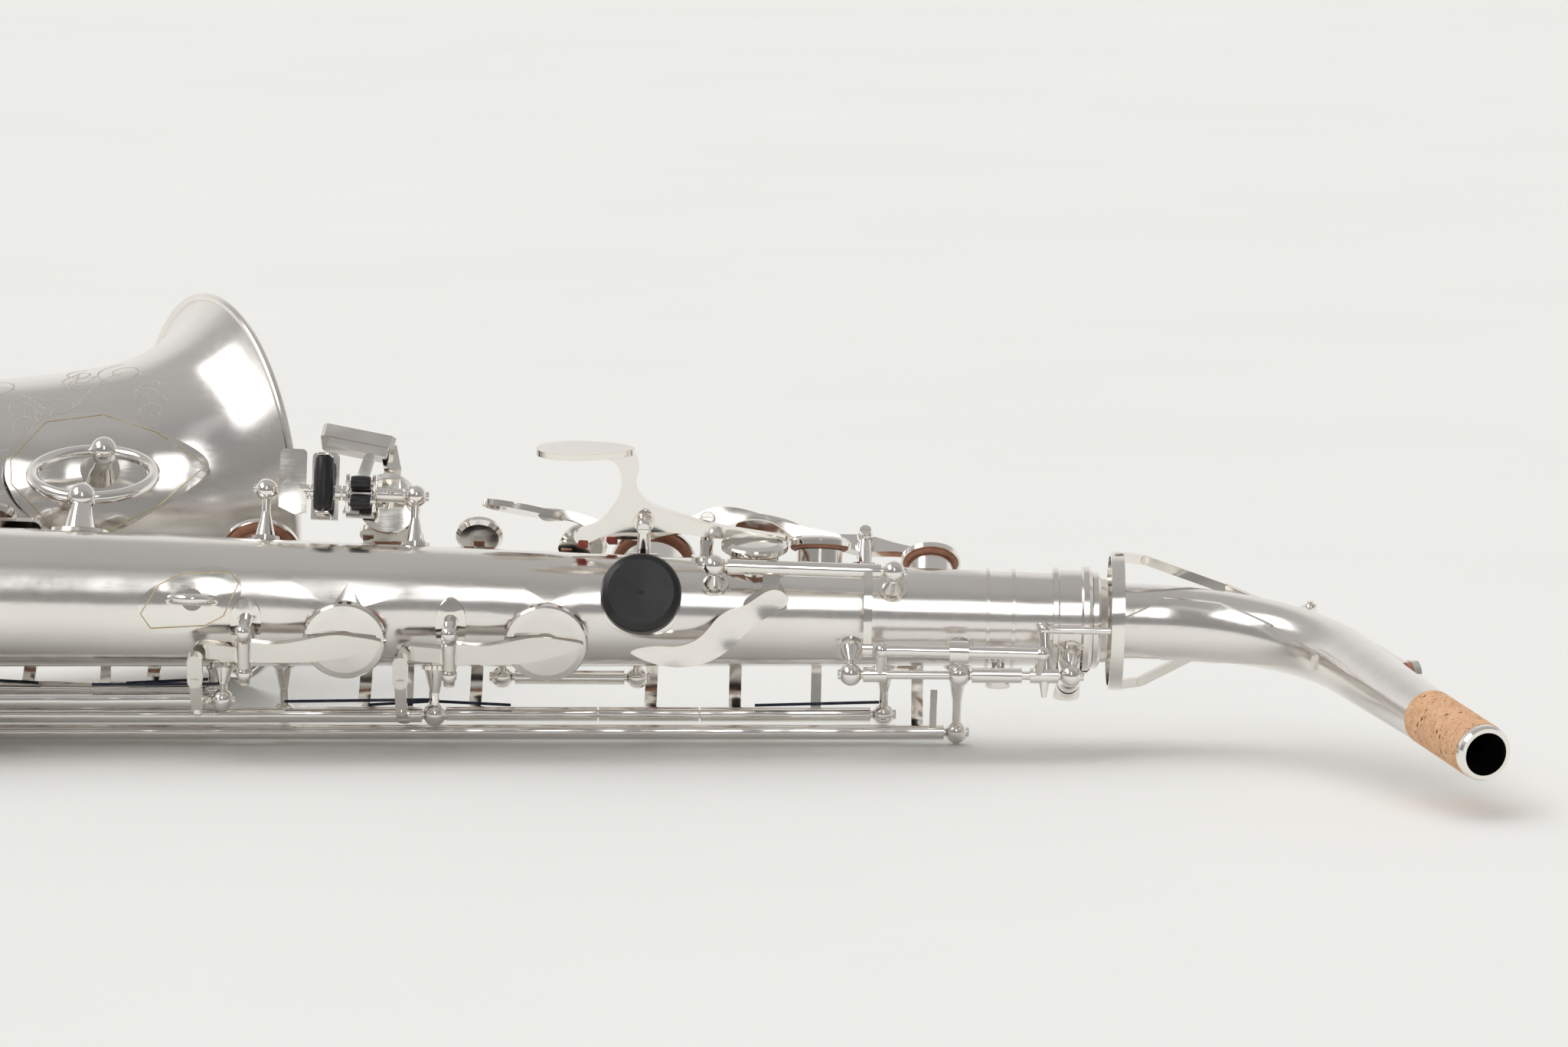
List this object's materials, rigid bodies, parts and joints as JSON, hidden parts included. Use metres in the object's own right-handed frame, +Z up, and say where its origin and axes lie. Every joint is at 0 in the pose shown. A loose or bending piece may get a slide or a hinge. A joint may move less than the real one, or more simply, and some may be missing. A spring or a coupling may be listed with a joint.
{
  "type": "alto saxophone",
  "caption": "Alto saxophone lying on its side: conical body, detachable curved neck, bow, flared bell and sprung keywork",
  "frame": {"origin": "centre of the box's footprint on the surface the instrument lies on", "axes": "+X along the body from the bow towards the neck, +Y towards the bell, +Z up from the table"},
  "size_m": [0.6478, 0.3096, 0.1231],
  "materials": {
    "silver_body": "silver plated, satin from polishing",
    "silver_key": "silver plated, polished, brass showing on edges",
    "black_plastic": "polished black",
    "steel": "turned",
    "blued_steel": "blued",
    "felt": "felt",
    "cork": "cork sheet, sanded",
    "leather_pad": "kid leather"
  },
  "bodies": {
    "horn": {"body_tube": "silver_body", "octave_pip": "silver_body", "neck_receiver": "silver_body", "bow": "silver_body", "ferrules": "silver_key", "bell": "silver_body", "bell_brace": "silver_key", "strap_ring": "silver_key", "thumb_rest_plate": "silver_key", "thumb_rest_button": "black_plastic", "thumb_hook": "silver_key", "thumb_hook_screw": "steel", "upper_posts": "silver_key", "lower_posts": "silver_key", "bell_posts": "silver_key", "low_key_guards": "silver_key", "bell_key_guard": "silver_key", "guard_felts": "felt", "hinge_rods": "steel", "pivot_screws": "steel", "needle_springs": "blued_steel"},
    "neck": {"neck_tube": "silver_body", "neck_brace": "silver_body", "neck_cork": "cork", "neck_tip_ring": "silver_key", "neck_fittings": "silver_key"},
    "neck_octave": {"neck_octave_key": "silver_key", "neck_octave_pad": "leather_pad"},
    "neck_screw": {"neck_screw": "silver_key"},
    "key_c": {"key_c": "silver_key"},
    "key_b": {"key_b": "silver_key"},
    "key_bis": {"key_bis": "silver_key"},
    "key_a": {"key_a": "silver_key"},
    "key_g": {"key_g": "silver_key"},
    "key_fsharp": {"key_fsharp": "silver_key"},
    "key_f": {"key_f": "silver_key"},
    "key_e": {"key_e": "silver_key"},
    "key_d": {"key_d": "silver_key"},
    "gsharp_cup": {"gsharp_cup": "silver_key"},
    "low_eb": {"low_eb_key": "silver_key"},
    "low_b_cup": {"low_b_cup": "silver_key"},
    "low_bb_cup": {"low_bb_cup": "silver_key"},
    "csharp_cup": {"csharp_cup": "silver_key"},
    "high_e": {"high_e_key": "silver_key"},
    "low_c": {"low_c_key": "silver_key"},
    "palm_d": {"palm_d_key": "silver_key"},
    "palm_eb": {"palm_eb_key": "silver_key"},
    "palm_f": {"palm_f_key": "silver_key"},
    "side_c_cup": {"side_c_cup": "silver_key"},
    "side_bb_cup": {"side_bb_cup": "silver_key"},
    "side_c_lever": {"side_c_lever": "silver_key"},
    "side_bb_lever": {"side_bb_lever": "silver_key"},
    "gsharp_touch": {"gsharp_touch": "silver_key"},
    "csharp_touch": {"csharp_touch": "silver_key"},
    "low_b_touch": {"low_b_touch": "silver_key"},
    "low_bb_touch": {"low_bb_touch": "silver_key"},
    "octave_thumb": {"octave_thumb_lever": "silver_key"},
    "octave_rocker": {"octave_rocker": "silver_key"},
    "body_octave": {"body_octave_key": "silver_key"}
  },
  "joints": [
    {"name": "key_c_press", "type": "hinge", "parent": "horn", "child": "key_c", "pos_m": [0.10846, -0.01735, 0.00766], "axis": [1, -0.0072, -0.001], "range_deg": [0, 6.59]},
    {"name": "key_b_press", "type": "hinge", "parent": "horn", "child": "key_b", "pos_m": [0.08345, -0.01717, 0.00769], "axis": [1, -0.0072, -0.001], "range_deg": [0, 8.97], "stiffness_Nm_per_rad": 0.02, "springref_deg": -20.05},
    {"name": "key_bis_press", "type": "hinge", "parent": "horn", "child": "key_bis", "pos_m": [0.05767, -0.01181, 0.01788], "axis": [0.9999, -0.0129, -0.004], "range_deg": [0, 8.54], "stiffness_Nm_per_rad": 0.02, "springref_deg": -20.05},
    {"name": "key_a_press", "type": "hinge", "parent": "horn", "child": "key_a", "pos_m": [0.03144, -0.0168, 0.00774], "axis": [1, -0.0072, -0.001], "range_deg": [0, 8.72], "stiffness_Nm_per_rad": 0.02, "springref_deg": -20.05},
    {"name": "key_g_press", "type": "hinge", "parent": "horn", "child": "key_g", "pos_m": [-0.00156, -0.01656, 0.00777], "axis": [1, -0.0072, -0.001], "range_deg": [0, 8.55], "stiffness_Nm_per_rad": 0.02, "springref_deg": -20.05},
    {"name": "key_fsharp_press", "type": "hinge", "parent": "horn", "child": "key_fsharp", "pos_m": [-0.06444, -0.01158, 0.01428], "axis": [0.9999, -0.011, -0.0028], "range_deg": [0, 8.32]},
    {"name": "key_f_press", "type": "hinge", "parent": "horn", "child": "key_f", "pos_m": [-0.10144, -0.01117, 0.01438], "axis": [0.9999, -0.011, -0.0028], "range_deg": [0, 9.71], "stiffness_Nm_per_rad": 0.02, "springref_deg": -20.05},
    {"name": "key_e_press", "type": "hinge", "parent": "horn", "child": "key_e", "pos_m": [-0.14145, -0.01073, 0.01449], "axis": [0.9999, -0.011, -0.0028], "range_deg": [0, 9.46], "stiffness_Nm_per_rad": 0.02, "springref_deg": -20.05},
    {"name": "key_d_press", "type": "hinge", "parent": "horn", "child": "key_d", "pos_m": [-0.18446, -0.01026, 0.01461], "axis": [0.9999, -0.011, -0.0028], "range_deg": [0, 9.22], "stiffness_Nm_per_rad": 0.02, "springref_deg": -20.05},
    {"name": "gsharp_cup_lift", "type": "hinge", "parent": "horn", "child": "gsharp_cup", "pos_m": [-0.0318, -0.00006, 0.04303], "axis": [-0.9995, 0.022, 0.0222], "range_deg": [0, 17.73]},
    {"name": "low_eb_press", "type": "hinge", "parent": "horn", "child": "low_eb", "pos_m": [-0.22742, -0.0163, 0.0171], "axis": [1, -0.0082, -0.0014], "range_deg": [0, 9.34], "stiffness_Nm_per_rad": 0.02, "springref_deg": -20.05},
    {"name": "low_b_cup_close", "type": "hinge", "parent": "horn", "child": "low_b_cup", "pos_m": [-0.21742, 0.08761, 0.02701], "axis": [-0.9807, -0.1947, 0.0202], "range_deg": [0, 7.76]},
    {"name": "low_bb_cup_close", "type": "hinge", "parent": "horn", "child": "low_bb_cup", "pos_m": [-0.16934, 0.09715, 0.02602], "axis": [-0.9807, -0.1947, 0.0202], "range_deg": [0, 7.5]},
    {"name": "csharp_cup_lift", "type": "hinge", "parent": "horn", "child": "csharp_cup", "pos_m": [-0.23202, 0.05403, 0.10201], "axis": [-0.9843, -0.173, -0.0342], "range_deg": [0, 10.48]},
    {"name": "high_e_press", "type": "hinge", "parent": "horn", "child": "high_e", "pos_m": [0.15837, -0.02399, 0.0033], "axis": [-1, 0.0027, 0], "range_deg": [0, 8.12], "stiffness_Nm_per_rad": 0.02, "springref_deg": -20.05},
    {"name": "low_c_close", "type": "hinge", "parent": "horn", "child": "low_c", "pos_m": [-0.2682, 0.00595, 0.02673], "axis": [-0.5469, 0.8277, 0.1258], "range_deg": [0, 7.64], "stiffness_Nm_per_rad": 0.02, "springref_deg": -20.05},
    {"name": "palm_d_press", "type": "hinge", "parent": "horn", "child": "palm_d", "pos_m": [0.08226, -0.03312, 0.06737], "axis": [-0.0038, -0.9848, -0.1736], "range_deg": [0, 4.94], "stiffness_Nm_per_rad": 0.02, "springref_deg": -20.05},
    {"name": "palm_eb_press", "type": "hinge", "parent": "horn", "child": "palm_eb", "pos_m": [0.10072, -0.02135, 0.06557], "axis": [0.0056, -0.9659, 0.2588], "range_deg": [0, 4.86], "stiffness_Nm_per_rad": 0.02, "springref_deg": -20.05},
    {"name": "palm_f_press", "type": "hinge", "parent": "horn", "child": "palm_f", "pos_m": [0.14704, -0.01072, 0.05684], "axis": [0.0152, -0.7193, 0.6945], "range_deg": [0, 7.35], "stiffness_Nm_per_rad": 0.02, "springref_deg": -20.05},
    {"name": "side_c_cup_lift", "type": "hinge", "parent": "horn", "child": "side_c_cup", "pos_m": [0.02594, -0.05248, 0.03051], "axis": [-0.0199, 0.4067, -0.9133], "range_deg": [0, 8.23]},
    {"name": "side_bb_cup_lift", "type": "hinge", "parent": "horn", "child": "side_bb_cup", "pos_m": [-0.03356, -0.05367, 0.03127], "axis": [-0.0199, 0.4067, -0.9133], "range_deg": [0, 7.95]},
    {"name": "side_c_press", "type": "hinge", "parent": "horn", "child": "side_c_lever", "pos_m": [0.01147, -0.02943, 0.00933], "axis": [-1, -0.0008, -0.0002], "range_deg": [0, 4], "stiffness_Nm_per_rad": 0.02, "springref_deg": -20.05},
    {"name": "side_bb_press", "type": "hinge", "parent": "horn", "child": "side_bb_lever", "pos_m": [-0.04792, -0.03583, 0.01479], "axis": [-1, -0.0057, 0.0006], "range_deg": [0, 4], "stiffness_Nm_per_rad": 0.02, "springref_deg": -20.05},
    {"name": "gsharp_touch_press", "type": "hinge", "parent": "horn", "child": "gsharp_touch", "pos_m": [0.00726, -0.01814, 0.07297], "axis": [-0.9991, 0.0068, 0.0427], "range_deg": [0, 5], "stiffness_Nm_per_rad": 0.02, "springref_deg": -20.05},
    {"name": "csharp_touch_press", "type": "hinge", "parent": "horn", "child": "csharp_touch", "pos_m": [-0.00188, -0.01807, 0.07337], "axis": [-0.9991, 0.0068, 0.0427], "range_deg": [0, 5], "stiffness_Nm_per_rad": 0.02, "springref_deg": -20.05},
    {"name": "low_b_touch_press", "type": "hinge", "parent": "horn", "child": "low_b_touch", "pos_m": [-0.01163, -0.01801, 0.07378], "axis": [-0.9991, 0.0068, 0.0427], "range_deg": [0, 5], "stiffness_Nm_per_rad": 0.02, "springref_deg": -20.05},
    {"name": "low_bb_touch_press", "type": "hinge", "parent": "horn", "child": "low_bb_touch", "pos_m": [-0.02097, -0.01794, 0.07418], "axis": [-0.9991, 0.0068, 0.0427], "range_deg": [0, 5], "stiffness_Nm_per_rad": 0.02, "springref_deg": -20.05},
    {"name": "octave_press", "type": "hinge", "parent": "horn", "child": "octave_thumb", "pos_m": [0.12849, -0.0465, 0.05486], "axis": [0.9992, 0.0166, -0.0363], "range_deg": [0, 6], "stiffness_Nm_per_rad": 0.03, "springref_deg": -20.05},
    {"name": "rocker_turn", "type": "hinge", "parent": "horn", "child": "octave_rocker", "pos_m": [0.17283, -0.04971, 0.02416], "axis": [0.9998, 0.0184, -0.0098], "range_deg": [0, 4.8]},
    {"name": "body_octave_lift", "type": "hinge", "parent": "horn", "child": "body_octave", "pos_m": [0.17283, -0.04971, 0.02416], "axis": [-0.9998, -0.0184, 0.0098], "range_deg": [0, 9]},
    {"name": "neck_octave_lift", "type": "hinge", "parent": "neck", "child": "neck_octave", "pos_m": [0.27727, -0.03031, 0.03551], "axis": [0.0216, -0.1392, 0.99], "range_deg": [0, 4.8]},
    {"name": "neck_swivel", "type": "hinge", "parent": "horn", "child": "neck", "pos_m": [0.21313, -0.0283, 0.03719], "axis": [0.9998, 0, -0.0218], "range_deg": [-25, 25]},
    {"name": "neck_screw_turn", "type": "hinge", "parent": "horn", "child": "neck_screw", "pos_m": [0.20628, -0.03689, 0.02118], "axis": [0.0102, -0.8829, 0.4694], "range_deg": [-60, 60]}
  ],
  "couplings": [
    {"joint": "key_c_press", "follows": "key_b_press", "ratio": 0.73244},
    {"joint": "key_fsharp_press", "follows": "key_f_press", "ratio": 0.85479},
    {"joint": "gsharp_cup_lift", "follows": "gsharp_touch_press", "ratio": 3.542},
    {"joint": "csharp_cup_lift", "follows": "csharp_touch_press", "ratio": 2.092},
    {"joint": "low_b_cup_close", "follows": "low_b_touch_press", "ratio": 1.548},
    {"joint": "low_bb_cup_close", "follows": "low_bb_touch_press", "ratio": 1.496},
    {"joint": "side_c_cup_lift", "follows": "side_c_press", "ratio": 2.0525},
    {"joint": "side_bb_cup_lift", "follows": "side_bb_press", "ratio": 1.9825},
    {"joint": "rocker_turn", "follows": "octave_press", "ratio": 0.79667},
    {"joint": "body_octave_lift", "follows": "octave_press", "ratio": 1.4967},
    {"joint": "neck_octave_lift", "follows": "octave_press", "ratio": 0.79667}
  ]
}
